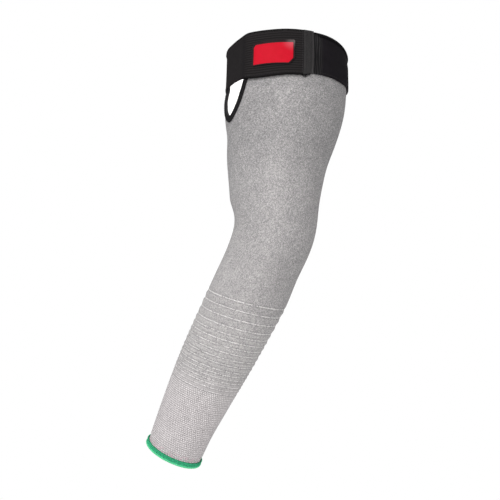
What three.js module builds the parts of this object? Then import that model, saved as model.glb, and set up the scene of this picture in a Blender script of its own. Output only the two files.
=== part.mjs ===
// Knit arm sleeve with a hook-and-loop upper-arm strap, as it sits on a slightly bent arm.
// Millimetres, +Z up. The origin is the centre of the upper-arm opening. +Z runs up the upper
// arm, the bend lies in the XZ plane, the elbow points to +X and the forearm goes to -X.
import * as THREE from 'three';

// ---- driving dimensions -------------------------------------------------------------------
const LENGTH = 458.6;         // length of the centre line, from the top edge to the wrist
const ELBOW = 183.2;          // distance of the elbow down the centre line
const ELBOW_HALF = 43.7;      // half the stretch over which the arm bends
const BEND_DEG = 35;          // how far the forearm is bent
const KNIT = 1.5;             // thickness of the knit
const GAP = 0.3;              // air kept between two pieces
const STRAP = 1.4;            // thickness of the elastic strap
const END_PIECE = 1.9;        // thickness of the strap's end piece
const PATCH = 1.4;            // thickness of the moulded patch
const TAPE = 0.9;             // thickness of the folded binding tape
const TAPE_HALF = 3.0;        // half the width of the folded tape
const TAPE_AIR = 0.45;        // air between the folded tape and the knit's faces
const HEM_TALL = 6.0;         // height of the overlocked edge
const HEM_PROUD = 1.3;        // how thick the overlock stands on each face
const NOTCH_DEG = -107;       // where round the arm the notch is
const NOTCH_HALF = 26;        // half width of the notch at the tape's centre line
const NOTCH_DEEP = 83;        // depth of the notch at the tape's centre line
const EDGE_LIFT = 0.9;        // how far the notch's cut edges are pressed in, and flare out below
const ROUND = 40;             // faces round the arm

const RAD = Math.PI / 180;

// The arm's sections: distance down the centre line, shift of the section towards the inside of
// the bend, and outer radius of the knit there.
const SECTIONS = [
  { at: 0,     shift: 0,    radius: 62.0 },
  { at: 33,    shift: -1.3, radius: 62.4 },
  { at: 66,    shift: 0.3,  radius: 61.6 },
  { at: 98,    shift: 5.7,  radius: 56.2 },
  { at: 131,   shift: 10.4, radius: 50.4 },
  { at: 164,   shift: 9.1,  radius: 45.8 },
  { at: 197,   shift: 1.0,  radius: 41.8 },
  { at: 229,   shift: -0.8, radius: 39.7 },
  { at: 262,   shift: -2.0, radius: 40.3 },
  { at: 295,   shift: -1.2, radius: 39.5 },
  { at: 328,   shift: 0.4,  radius: 38.4 },
  { at: 360,   shift: 1.7,  radius: 36.6 },
  { at: 393,   shift: 2.4,  radius: 34.1 },
  { at: 426,   shift: 2.0,  radius: 31.3 },
  { at: 458.6, shift: 0,    radius: 29.6 },
];

// Rows of the sleeve's faces, as distances down the centre line. They are closer where the notch
// closes and where the elbow bends.
const NOTCH_ROWS = [0, 12, 25, 38, 50, 57, 63, 68, 72, 75.5, 78.3, 80.2, 81.2];
const ROW_STEP = 14;

// The strap's path, in degrees round the arm: how far its inner face stands off the knit, and
// where its top and bottom edges are.
const STRAP_PATH = [
  { deg: -79.2, off: 0.3, top: 0.3, bottom: 47.0 },
  { deg: -50, off: 0.3, top: 0.5, bottom: 46.6 },
  { deg: -20, off: 0.3, top: -0.3, bottom: 45.4 },
  { deg: 0, off: 0.3, top: -0.2, bottom: 44.3 },
  { deg: 20, off: 0.3, top: 1.3, bottom: 43.6 },
  { deg: 40, off: 0.3, top: 3.4, bottom: 42.2 },
  { deg: 70, off: 0.3, top: 3.8, bottom: 42.0 },
  { deg: 120, off: 0.3, top: 3.2, bottom: 43.0 },
  { deg: 180, off: 0.3, top: 2.4, bottom: 44.8 },
  { deg: 216, off: 0.3, top: 1.6, bottom: 46.0 },
  { deg: 226, off: 1.1, top: 1.0, bottom: 46.0 },
  { deg: 234, off: 1.1, top: 0.2, bottom: 45.6 },
  { deg: 255, off: 1.3, top: -0.1, bottom: 46.2 },
  { deg: 270, off: 1.5, top: 0.7, bottom: 48.2 },
  { deg: 275, off: 1.9, top: 0.7, bottom: 49.3 },
  { deg: 279.5, off: 2.0, top: 0.1, bottom: 50.3 },
  { deg: 290, off: 2.0, top: 0.3, bottom: 51.8 },
  { deg: 302, off: 2.0, top: 0.4, bottom: 51.6 },
  { deg: 318, off: 2.0, top: -0.1, bottom: 50.0 },
  { deg: 332.6, off: 2.0, top: -0.2, bottom: 49.2 },
];
const BRIDGE = { from: 234, to: 275 };       // where the strap crosses the notch in the air

const STRAP_END = [
  { deg: 333.1, top: -0.2, bottom: 47.4 },
  { deg: 341.6, top: -0.2, bottom: 46.4 },
];

// The patch's outline: two opposite corners are cut off.
const PATCH_OUTLINE = [
  { deg: 286.2, top: 18.6, bottom: 38.1 },
  { deg: 288.4, top: 15.0, bottom: 38.0 },
  { deg: 319.4, top: 13.9, bottom: 36.4 },
  { deg: 323.6, top: 13.8, bottom: 30.6 },
];
const STRAP_OFF = 2.0;        // stand-off of the strap's upper layer, which carries the patch

// ---- helpers ------------------------------------------------------------------------------

// Smooth value of one column of a table at x (cubic through the rows, flat past the ends).
function column(rows, key, name, x) {
  if (x <= rows[0][key]) return rows[0][name];
  if (x >= rows[rows.length - 1][key]) return rows[rows.length - 1][name];
  let i = 0;
  while (x > rows[i + 1][key]) i++;
  const slope = (k) => {
    const a = rows[Math.max(k - 1, 0)];
    const b = rows[Math.min(k + 1, rows.length - 1)];
    return (b[name] - a[name]) / (b[key] - a[key]);
  };
  const h = rows[i + 1][key] - rows[i][key];
  const t = (x - rows[i][key]) / h;
  const t2 = t * t, t3 = t2 * t;
  return (2 * t3 - 3 * t2 + 1) * rows[i][name] + (t3 - 2 * t2 + t) * h * slope(i)
    + (-2 * t3 + 3 * t2) * rows[i + 1][name] + (t3 - t2) * h * slope(i + 1);
}

// The same, straight between rows.
function straight(rows, key, name, x) {
  if (x <= rows[0][key]) return rows[0][name];
  for (let i = 0; i + 1 < rows.length; i++) {
    const a = rows[i], b = rows[i + 1];
    if (x <= b[key]) return a[name] + (b[name] - a[name]) * (x - a[key]) / (b[key] - a[key]);
  }
  return rows[rows.length - 1][name];
}

const smooth = (t) => { const c = Math.min(1, Math.max(0, t)); return c * c * (3 - 2 * c); };

const radiusAt = (s) => column(SECTIONS, 'at', 'radius', s);

// The centre line before the sections shift: its direction turns smoothly at the elbow.
const turnAt = (s) => BEND_DEG * RAD * smooth((s - ELBOW + ELBOW_HALF) / (2 * ELBOW_HALF));
const SPINE = [{ x: 0, z: 0 }];
for (let s = 0; s < LENGTH + 2; s++) {
  const turn = turnAt(s + 0.5), { x, z } = SPINE[s];
  SPINE.push({ x: x - Math.sin(turn), z: z - Math.cos(turn) });
}

// Centre and outward direction of the section at distance s down the arm.
function sectionAt(s) {
  const i = Math.min(Math.max(Math.floor(s), 0), SPINE.length - 2), t = s - i;
  const turn = turnAt(s);
  const out = new THREE.Vector3(Math.cos(turn), 0, -Math.sin(turn));
  const centre = new THREE.Vector3(SPINE[i].x + (SPINE[i + 1].x - SPINE[i].x) * t, 0,
    SPINE[i].z + (SPINE[i + 1].z - SPINE[i].z) * t);
  return { centre: centre.addScaledVector(out, -column(SECTIONS, 'at', 'shift', s)), out };
}

// Point at distance s down the arm, at an angle round it, at a radius from the section's centre.
function around(s, angle, radius) {
  const { centre, out } = sectionAt(s);
  return centre.addScaledVector(out, radius * Math.cos(angle))
    .add(new THREE.Vector3(0, radius * Math.sin(angle), 0));
}

// Half width of the notch at distance s, for an outline moved inwards by "inset".
function notchHalf(s, inset) {
  const deep = NOTCH_DEEP - inset;
  if (s >= deep) return 0;
  return (NOTCH_HALF - inset) * Math.pow(1 - Math.pow(s / deep, 4.35), 1 / 1.5);
}

// The knit beside the notch is pressed in under the strap and flares out below it.
function edgeLift(s, angle) {
  let away = Math.abs(angle / RAD - NOTCH_DEG);
  away = Math.min(away, Math.abs(away - 360));
  const near = 1 - smooth((away - 28) / 14);
  return EDGE_LIFT * near * (smooth((s - 50) / 14) * (1 - smooth((s - 72) / 26)) - (1 - smooth((s - 50) / 14)));
}

const knitSurface = (s, angle, off) => around(s, angle, radiusAt(s) + edgeLift(s, angle) + off);

// A closed mesh from numbered points and quads.
function mesh(name, points, quads, material) {
  const geometry = new THREE.BufferGeometry();
  geometry.setAttribute('position', new THREE.Float32BufferAttribute(points.flatMap((p) => [p.x, p.y, p.z]), 3));
  const index = [];
  for (const [a, b, c, d] of quads) {
    if (a !== b && b !== c && c !== a) index.push(a, b, c);
    if (a !== c && c !== d && d !== a) index.push(a, c, d);
  }
  geometry.setIndex(index);
  geometry.computeVertexNormals();
  const made = new THREE.Mesh(geometry, material);
  made.name = name;
  return made;
}

// A long piece with the same number of points in every section: sections[i][k] goes round the
// section, and the two end sections are closed, or joined to each other when "loop" is set.
function swept(name, sections, material, loop = false, caps = null) {
  const n = sections[0].length;
  const points = sections.flat();
  const quads = [];
  const last = loop ? sections.length : sections.length - 1;
  for (let i = 0; i < last; i++) {
    const j = (i + 1) % sections.length;
    for (let k = 0; k < n; k++) {
      const l = (k + 1) % n;
      quads.push([i * n + k, i * n + l, j * n + l, j * n + k]);
    }
  }
  if (!loop) {
    const end = (sections.length - 1) * n;
    for (const [a, b, c, d] of caps) {
      quads.push([d, c, b, a]);
      quads.push([end + a, end + b, end + c, end + d]);
    }
  }
  return mesh(name, points, quads, material);
}

// ---- the knit tube ------------------------------------------------------------------------
function knitSleeve(material) {
  const inset = 1.8;                                  // the knit ends inside the folded tape
  const bottom = NOTCH_DEEP - inset;
  const end = LENGTH - 1.3;                           // the knit ends inside the overlock
  const rows = [...NOTCH_ROWS];
  const steps = Math.ceil((end - bottom) / ROW_STEP);
  for (let i = 1; i <= steps; i++) rows.push(bottom + (end - bottom) * i / steps);
  const closed = NOTCH_ROWS.length - 1;               // first row where the tube is whole

  const points = [];
  const ids = { outer: [], inner: [] };
  for (const [side, off] of [['outer', 0], ['inner', -KNIT]]) {
    rows.forEach((s, i) => {
      const half = notchHalf(s, inset) / radiusAt(s);
      const line = [];
      for (let j = 0; j <= ROUND; j++) {
        if (j === ROUND && i >= closed) { line.push(line[0]); continue; }
        const angle = NOTCH_DEG * RAD + half + (2 * Math.PI - 2 * half) * j / ROUND;
        let at = s;
        if (i === 0) at = 0.6 + topEdge(angle);       // the rim follows the strap's top edge
        line.push(points.length);
        points.push(knitSurface(at, angle, off));
      }
      ids[side].push(line);
    });
  }
  const { outer, inner } = ids;
  const quads = [];
  const R = rows.length - 1;
  for (let i = 0; i < R; i++) {
    for (let j = 0; j < ROUND; j++) {
      quads.push([outer[i][j], outer[i + 1][j], outer[i + 1][j + 1], outer[i][j + 1]]);
      quads.push([inner[i][j], inner[i][j + 1], inner[i + 1][j + 1], inner[i + 1][j]]);
    }
  }
  for (let j = 0; j < ROUND; j++) {                   // the two rims
    quads.push([outer[0][j], outer[0][j + 1], inner[0][j + 1], inner[0][j]]);
    quads.push([outer[R][j], inner[R][j], inner[R][j + 1], outer[R][j + 1]]);
  }
  for (let i = 0; i < closed; i++) {                  // the cut edges of the notch
    quads.push([outer[i][0], inner[i][0], inner[i + 1][0], outer[i + 1][0]]);
    quads.push([outer[i][ROUND], outer[i + 1][ROUND], inner[i + 1][ROUND], inner[i][ROUND]]);
  }
  return mesh('knit_sleeve', points, quads, material);
}

// Height of the strap's top edge at an angle round the arm.
function topEdge(angle) {
  let deg = angle / RAD;
  while (deg >= 280.8) deg -= 360;
  while (deg < -79.2) deg += 360;
  return column(STRAP_PATH, 'deg', 'top', deg);
}

// ---- the folded tape round the notch --------------------------------------------------------
function notchBinding(material) {
  const steps = 54;
  const outline = [];
  for (let i = 0; i <= 240; i++) {                    // fine outline: width across, distance down
    const u = i / 240;
    const s = 2.8 + (NOTCH_DEEP - 2.8) * Math.sin(u * Math.PI / 2);
    outline.push({ w: notchHalf(s, 0), s });
  }
  const whole = [...outline, ...outline.slice(0, -1).reverse().map((p) => ({ w: -p.w, s: p.s }))];
  const run = [0];
  for (let i = 1; i < whole.length; i++) run.push(run[i - 1] + Math.hypot(whole[i].w - whole[i - 1].w, whole[i].s - whole[i - 1].s));
  const total = run[run.length - 1];
  const at = (d) => {
    let i = 0;
    while (i < run.length - 2 && run[i + 1] < d) i++;
    const t = (d - run[i]) / (run[i + 1] - run[i]);
    return { w: whole[i].w + (whole[i + 1].w - whole[i].w) * t, s: whole[i].s + (whole[i + 1].s - whole[i].s) * t };
  };
  const air = TAPE_AIR, over = TAPE_AIR + TAPE, under = -KNIT - TAPE_AIR, below = -KNIT - TAPE_AIR - TAPE;
  const web = TAPE_HALF - TAPE;
  // Section of the tape: "in" is towards the opening, "off" is away from the knit's outer face.
  const section = [
    { in: -TAPE_HALF, off: over }, { in: TAPE_HALF, off: over },
    { in: TAPE_HALF, off: below }, { in: -TAPE_HALF, off: below },
    { in: -TAPE_HALF, off: under }, { in: web, off: under },
    { in: web, off: air }, { in: -TAPE_HALF, off: air },
  ];
  const sections = [];
  for (let k = 0; k <= steps; k++) {
    const d = total * k / steps;
    const p = at(d), a = at(Math.max(0, d - 0.4)), b = at(Math.min(total, d + 0.4));
    const long = Math.hypot(b.w - a.w, b.s - a.s);
    const inW = -(b.s - a.s) / long, inS = (b.w - a.w) / long;   // towards the opening
    sections.push(section.map((q) => {
      const w = p.w + q.in * inW, s = p.s + q.in * inS;
      return knitSurface(s, NOTCH_DEG * RAD + w / radiusAt(s), q.off);
    }));
  }
  return swept('notch_binding', sections, material, false, [[0, 1, 6, 7], [1, 2, 5, 6], [2, 3, 4, 5]]);
}

// ---- the strap and what is on it ------------------------------------------------------------

// Radius of the strap's inner face. Across the notch it is the straight chord between the edges.
function strapRadius(deg, s) {
  const off = (d) => straight(STRAP_PATH, 'deg', 'off', d);
  const r = radiusAt(s);
  if (deg <= BRIDGE.from || deg >= BRIDGE.to) return r + off(deg);
  const a = { r: r + off(BRIDGE.from), t: BRIDGE.from * RAD }, b = { r: r + off(BRIDGE.to), t: BRIDGE.to * RAD };
  const t = deg * RAD;
  return a.r * b.r * Math.sin(b.t - a.t) / (b.r * Math.sin(b.t - t) + a.r * Math.sin(t - a.t));
}

// A band of constant thickness that follows the arm between two edges.
function band(name, degrees, edge, inner, thick, material, across = 4) {
  const sections = degrees.map((deg) => {
    const { top, bottom } = edge(deg);
    const ring = [];
    for (let k = 0; k <= across; k++) {
      const s = top + (bottom - top) * k / across;
      ring.push(around(s, deg * RAD, inner(deg, s) + thick));
    }
    for (let k = across; k >= 0; k--) {
      const s = top + (bottom - top) * k / across;
      ring.push(around(s, deg * RAD, inner(deg, s)));
    }
    return ring;
  });
  const caps = [];
  for (let k = 0; k < across; k++) caps.push([k, k + 1, 2 * across - k, 2 * across + 1 - k]);
  return swept(name, sections, material, false, caps);
}

const between = (from, to, step) => {
  const n = Math.max(1, Math.ceil((to - from) / step));
  return Array.from({ length: n + 1 }, (_, i) => from + (to - from) * i / n);
};

function armBand(material) {
  const first = STRAP_PATH[0].deg, last = STRAP_PATH[STRAP_PATH.length - 1].deg;
  const degrees = [
    ...between(first, 216, 6.5), ...between(216, BRIDGE.from, 5).slice(1),
    ...between(BRIDGE.from, BRIDGE.to, 9).slice(1), ...between(BRIDGE.to, 279.5, 3).slice(1),
    ...between(279.5, last, 6.5).slice(1),
  ];
  const edge = (deg) => ({ top: column(STRAP_PATH, 'deg', 'top', deg), bottom: column(STRAP_PATH, 'deg', 'bottom', deg) });
  return band('arm_band', degrees, edge, strapRadius, STRAP, material);
}

function strapEnd(material) {
  const edge = (deg) => ({ top: straight(STRAP_END, 'deg', 'top', deg), bottom: straight(STRAP_END, 'deg', 'bottom', deg) });
  return band('strap_end', between(STRAP_END[0].deg, STRAP_END[1].deg, 4.5), edge,
    (deg, s) => radiusAt(s) + STRAP_OFF, END_PIECE, material);
}

function labelPatch(material) {
  const edge = (deg) => ({ top: straight(PATCH_OUTLINE, 'deg', 'top', deg), bottom: straight(PATCH_OUTLINE, 'deg', 'bottom', deg) });
  const [a, b, c, d] = PATCH_OUTLINE.map((row) => row.deg);
  const degrees = [...between(a, b, 5), ...between(b, c, 5.2).slice(1), ...between(c, d, 5).slice(1)];
  return band('label_patch', degrees, edge,
    (deg, s) => radiusAt(s) + STRAP_OFF + STRAP + GAP, PATCH, material, 3);
}

// ---- the overlocked edge at the wrist --------------------------------------------------------
function wristHem(material) {
  const end = LENGTH, web = LENGTH - 1.0, start = LENGTH - HEM_TALL;
  const out = GAP + HEM_PROUD, below = -KNIT - GAP - HEM_PROUD * 0.7, under = -KNIT - GAP;
  const section = [
    { s: start, off: GAP + 0.35 }, { s: start + 1.6, off: out }, { s: end - 1.4, off: out }, { s: end, off: out - 1.0 },
    { s: end, off: below + 0.5 }, { s: end - 1.0, off: below }, { s: start, off: below },
    { s: start, off: under }, { s: web, off: under }, { s: web, off: GAP }, { s: start, off: GAP },
  ];
  const around48 = 48;
  const sections = [];
  for (let k = 0; k < around48; k++) {
    const angle = 2 * Math.PI * k / around48;
    sections.push(section.map((q) => knitSurface(q.s, angle, q.off)));
  }
  return swept('wrist_hem', sections, material, true);
}

// ---- the sleeve -------------------------------------------------------------------------------
const knit = new THREE.MeshStandardMaterial({ color: 0xa9a6a6, roughness: 0.92, metalness: 0 });
const black = new THREE.MeshStandardMaterial({ color: 0x242224, roughness: 0.85, metalness: 0 });
const webbing = new THREE.MeshStandardMaterial({ color: 0x2b292c, roughness: 0.8, metalness: 0 });
const endTape = new THREE.MeshStandardMaterial({ color: 0x3a383b, roughness: 0.8, metalness: 0 });
const red = new THREE.MeshStandardMaterial({ color: 0xd5152d, roughness: 0.5, metalness: 0 });
const green = new THREE.MeshStandardMaterial({ color: 0x2fae68, roughness: 0.75, metalness: 0 });

const sleeve = new THREE.Group();
sleeve.add(
  knitSleeve(knit),
  notchBinding(black),
  armBand(webbing),
  strapEnd(endTape),
  labelPatch(red),
  wristHem(green),
);

export default sleeve;
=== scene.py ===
# Knit arm sleeve with a hook-and-loop strap: the finished surfaces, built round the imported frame.
# Shapes are worked out in millimetres and made in metres. s runs down the arm from the top edge,
# deg runs round it: 0 is the outer side of the elbow, 90 is +Y.
import math

import bpy
import numpy as np
from mathutils import Matrix


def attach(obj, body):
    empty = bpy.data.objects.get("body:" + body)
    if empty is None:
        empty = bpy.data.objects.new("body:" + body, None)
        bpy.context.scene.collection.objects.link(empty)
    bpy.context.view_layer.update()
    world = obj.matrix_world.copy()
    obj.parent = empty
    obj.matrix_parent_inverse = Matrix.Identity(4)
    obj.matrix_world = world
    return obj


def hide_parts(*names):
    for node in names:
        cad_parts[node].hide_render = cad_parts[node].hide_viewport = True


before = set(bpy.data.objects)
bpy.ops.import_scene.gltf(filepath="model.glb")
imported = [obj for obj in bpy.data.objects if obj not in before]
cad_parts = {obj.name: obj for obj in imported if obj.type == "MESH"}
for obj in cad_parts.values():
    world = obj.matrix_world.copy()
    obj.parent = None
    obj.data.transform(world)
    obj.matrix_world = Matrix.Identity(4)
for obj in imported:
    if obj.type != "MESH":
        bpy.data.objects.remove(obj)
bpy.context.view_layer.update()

RAD = math.pi / 180
rng = np.random.RandomState(11)

# ---- the arm's form ------------------------------------------------------------------------
LENGTH, ELBOW, ELBOW_HALF, BEND_DEG = 458.6, 183.2, 43.7, 35.0
KNIT = 1.5
NOTCH_DEG, NOTCH_HALF, NOTCH_DEEP = -107.0, 26.0, 83.0
EDGE_LIFT = 0.9

#            at   shift  radius
SECTIONS = [(0, 0, 62.0), (33, -1.3, 62.4), (66, 0.3, 61.6), (98, 5.7, 56.2), (131, 10.4, 50.4),
            (164, 9.1, 45.8), (197, 1.0, 41.8), (229, -0.8, 39.7), (262, -2.0, 40.3),
            (295, -1.2, 39.5), (328, 0.4, 38.4), (360, 1.7, 36.6), (393, 2.4, 34.1),
            (426, 2.0, 31.3), (458.6, 0, 29.6)]
#              deg   off  top  bottom
STRAP_PATH = [(-79.2, 0.3, 0.3, 47.0), (-50, 0.3, 0.5, 46.6), (-20, 0.3, -0.3, 45.4),
              (0, 0.3, -0.2, 44.3), (20, 0.3, 1.3, 43.6), (40, 0.3, 3.4, 41.7),
              (70, 0.3, 3.8, 40.4), (120, 0.3, 3.2, 43.0), (180, 0.3, 2.4, 44.8),
              (216, 0.3, 1.6, 46.0), (226, -0.1, 1.0, 46.0), (234, -0.1, 0.2, 45.6),
              (255, 1.3, -0.1, 46.2), (270, 1.5, 0.7, 48.2), (275, 1.9, 0.7, 49.3),
              (279.5, 2.0, 0.1, 50.3), (290, 2.0, 0.3, 51.8), (302, 2.0, 0.4, 51.6),
              (318, 2.0, -0.1, 50.0), (332.6, 2.0, -0.2, 49.2)]
BRIDGE = (234.0, 275.0)
STRAP, STRAP_OFF, GAP = 1.4, 2.0, 0.3

SECTIONS = np.array(SECTIONS, float)
STRAP_PATH = np.array(STRAP_PATH, float)


def column(rows, k, x):
    """Smooth value of column k of a table at x, flat past the ends."""
    x = np.asarray(x, float)
    key, val = rows[:, 0], rows[:, k]
    c = np.clip(x, key[0], key[-1])
    i = np.clip(np.searchsorted(key, c, side="left") - 1, 0, len(key) - 2)
    prev, nxt = np.maximum(np.arange(len(key)) - 1, 0), np.minimum(np.arange(len(key)) + 1, len(key) - 1)
    slope = (val[nxt] - val[prev]) / (key[nxt] - key[prev])
    h = key[i + 1] - key[i]
    t = (c - key[i]) / h
    return ((2 * t**3 - 3 * t**2 + 1) * val[i] + (t**3 - 2 * t**2 + t) * h * slope[i]
            + (-2 * t**3 + 3 * t**2) * val[i + 1] + (t**3 - t**2) * h * slope[i + 1])


def smooth(t):
    c = np.clip(t, 0, 1)
    return c * c * (3 - 2 * c)


_fine = np.arange(-8, LENGTH + 8, 0.25)
_turn = BEND_DEG * RAD * smooth((_fine + 0.125 - ELBOW + ELBOW_HALF) / (2 * ELBOW_HALF))
_start = np.searchsorted(_fine, 0)
SPINE_X = np.concatenate([[0], np.cumsum(-np.sin(_turn) * 0.25)])[:-1]
SPINE_Z = np.concatenate([[0], np.cumsum(-np.cos(_turn) * 0.25)])[:-1]
SPINE_X -= SPINE_X[_start]
SPINE_Z -= SPINE_Z[_start]


def turn_at(s):
    return BEND_DEG * RAD * smooth((np.asarray(s, float) - ELBOW + ELBOW_HALF) / (2 * ELBOW_HALF))


def radius_at(s):
    return column(SECTIONS, 2, s)


def around(s, angle, radius):
    s, angle, radius = np.broadcast_arrays(np.asarray(s, float), angle, radius)
    turn = turn_at(s)
    reach = radius * np.cos(angle) - column(SECTIONS, 1, s)
    x = np.interp(s, _fine, SPINE_X) + reach * np.cos(turn)
    z = np.interp(s, _fine, SPINE_Z) - reach * np.sin(turn)
    return np.stack([x, radius * np.sin(angle), z], -1)


def outward(s, angle):
    """Unit vector away from the arm."""
    s, angle = np.broadcast_arrays(np.asarray(s, float), angle)
    turn = turn_at(s)
    c = np.cos(angle)
    return np.stack([c * np.cos(turn), np.sin(angle), -c * np.sin(turn)], -1)


def notch_half(s, inset):
    deep = NOTCH_DEEP - inset
    q = np.clip(np.asarray(s, float) / deep, 0, 1)
    return (NOTCH_HALF - inset) * np.power(1 - q**4.35, 1 / 1.5)


def edge_lift(s, angle):
    away = np.abs(np.degrees(angle) - NOTCH_DEG)
    away = np.minimum(away, np.abs(away - 360))
    near = 1 - smooth((away - 28) / 14)
    pressed = 1 - smooth((s - 44) / 8)
    return EDGE_LIFT * near * (smooth((s - 46) / 16) * (1 - smooth((s - 72) / 26)) - pressed)


def knit_surface(s, angle, off):
    return around(s, angle, radius_at(s) + edge_lift(s, angle) + off)


def strap_edge(deg):
    return column(STRAP_PATH, 2, deg), column(STRAP_PATH, 3, deg)


def top_edge(angle):
    deg = np.degrees(angle)
    deg = np.where(deg >= 280.8, deg - 360, deg)
    return column(STRAP_PATH, 2, deg)


def strap_radius(deg, s):
    """Radius of the strap's inner face; a straight chord across the notch."""
    deg, s = np.broadcast_arrays(np.asarray(deg, float), s)
    r = radius_at(s)
    off = np.interp(deg, STRAP_PATH[:, 0], STRAP_PATH[:, 1])
    off_a, off_b = (np.interp(d, STRAP_PATH[:, 0], STRAP_PATH[:, 1]) for d in BRIDGE)
    ra, rb, ta, tb, t = r + off_a, r + off_b, BRIDGE[0] * RAD, BRIDGE[1] * RAD, deg * RAD
    chord = ra * rb * math.sin(tb - ta) / (rb * np.sin(tb - t) + ra * np.sin(t - ta) + 1e-9)
    near = (deg > BRIDGE[0] - 12) & (deg < BRIDGE[1] + 12)
    a, b, k = np.where(near, chord, 1e3), r + off, 0.7
    return np.where(near, -k * np.logaddexp(-np.minimum(a, 500) / k, -b / k) + 0.2, b)


# The knit's own rows tilt where the arm bends: distance down the knit at a point of the surface.
def knit_down(s, angle):
    tilt = 0.046 * (LENGTH - s) * smooth((s - 90) / 150)
    return s + tilt * np.cos(angle - 15 * RAD)


# ---- mesh making ---------------------------------------------------------------------------
def build(name, verts, polys, material_index=None, uvs=None, vectors=None, materials=(), smooth_faces=True):
    """verts in mm; polys: list of (n, k) arrays; uvs: {name: list of (n, k, 2) arrays like polys};
    vectors: {name: (nverts, 3)}."""
    me = bpy.data.meshes.new(name)
    verts = np.asarray(verts, float) * 0.001
    me.vertices.add(len(verts))
    me.vertices.foreach_set("co", verts.astype(np.float32).ravel())
    loops = np.concatenate([p.reshape(-1) for p in polys])
    totals = np.concatenate([np.full(len(p), p.shape[1]) for p in polys])
    starts = np.concatenate([[0], np.cumsum(totals)[:-1]])
    me.loops.add(len(loops))
    me.loops.foreach_set("vertex_index", loops.astype(np.int32))
    me.polygons.add(len(totals))
    me.polygons.foreach_set("loop_start", starts.astype(np.int32))
    me.polygons.foreach_set("loop_total", totals.astype(np.int32))
    if material_index is not None:
        me.polygons.foreach_set("material_index", np.concatenate(material_index).astype(np.int32))
    me.polygons.foreach_set("use_smooth", np.full(len(totals), smooth_faces))
    for key, parts in (uvs or {}).items():
        layer = me.uv_layers.new(name=key)
        flat = np.concatenate([np.asarray(p, float).reshape(-1, 2) for p in parts])
        layer.data.foreach_set("uv", flat.astype(np.float32).ravel())
    for key, value in (vectors or {}).items():
        layer = me.attributes.new(key, "FLOAT_VECTOR", "POINT")
        layer.data.foreach_set("vector", np.asarray(value, float).astype(np.float32).ravel())
    me.update(calc_edges=True)
    me.validate(clean_customdata=False)
    for m in materials:
        me.materials.append(m)
    ob = bpy.data.objects.new(name, me)
    bpy.context.scene.collection.objects.link(ob)
    return ob


def ring_sweep(points, closed_ring=True, closed_path=False, flip=False):
    """Faces of a grid: points is (n sections, m round the section)."""
    n, m = points.shape
    nn = n if closed_path else n - 1
    mm = m if closed_ring else m - 1
    i, k = np.meshgrid(np.arange(nn), np.arange(mm), indexing="ij")
    i2, k2 = (i + 1) % n, (k + 1) % m
    q = np.stack([points[i, k], points[i, k2], points[i2, k2], points[i2, k]], -1).reshape(-1, 4)
    return q[:, ::-1] if flip else q


def tubes(paths, ref, radius, sides=6, closed=False):
    """Many tubes at once. paths (m, n, 3), ref broadcastable to it, radius a number or (m, n).
    Returns verts and [quads, caps], with uvs (length, round)."""
    P = np.asarray(paths, float)
    m, n = P.shape[:2]
    if closed:
        T = np.roll(P, -1, 1) - np.roll(P, 1, 1)
    else:
        T = np.gradient(P, axis=1)
    T /= np.linalg.norm(T, axis=-1, keepdims=True) + 1e-12
    ref = np.broadcast_to(ref, P.shape)
    e1 = ref - (ref * T).sum(-1, keepdims=True) * T
    e1 /= np.linalg.norm(e1, axis=-1, keepdims=True) + 1e-12
    e2 = np.cross(T, e1)
    r = np.broadcast_to(np.asarray(radius, float), (m, n))[..., None, None]
    a = 2 * np.pi * np.arange(sides) / sides
    V = P[:, :, None] + r * (np.cos(a)[:, None] * e1[:, :, None] + np.sin(a)[:, None] * e2[:, :, None])
    V = V.reshape(-1, 3)
    idx = np.arange(m * n * sides).reshape(m, n, sides)
    quads, caps, uv, uvc = [], [], [], []
    step = np.linalg.norm(np.diff(P, axis=1), axis=-1)
    run = np.concatenate([np.zeros((m, 1)), np.cumsum(step, 1)], 1)
    nn = n if closed else n - 1
    i, k = np.meshgrid(np.arange(nn), np.arange(sides), indexing="ij")
    i2, k2 = (i + 1) % n, (k + 1) % sides
    q = np.stack([idx[:, i, k], idx[:, i, k2], idx[:, i2, k2], idx[:, i2, k]], -1).reshape(-1, 4)
    ln = np.stack([run[:, i], run[:, i], run[:, i2], run[:, i2]], -1)
    rd = np.broadcast_to(np.stack([k, k + 1, k + 1, k], -1) / sides, ln.shape)
    quads.append(q)
    uv.append(np.stack([ln, rd], -1).reshape(-1, 4, 2))
    if not closed:
        caps = [idx[:, 0, ::-1].reshape(-1, sides), idx[:, -1, :].reshape(-1, sides)]
        uvc = [np.zeros((m, sides, 2)), np.zeros((m, sides, 2))]
    return V, [*quads, *caps], [*uv, *uvc]


def joined(parts):
    """Joins (verts, polys, uvs) parts into one."""
    verts, polys, uvs, at = [], [], [], 0
    for V, F, U in parts:
        verts.append(V)
        polys += [f + at for f in F]
        uvs += U
        at += len(V)
    return np.concatenate(verts), polys, uvs


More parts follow.
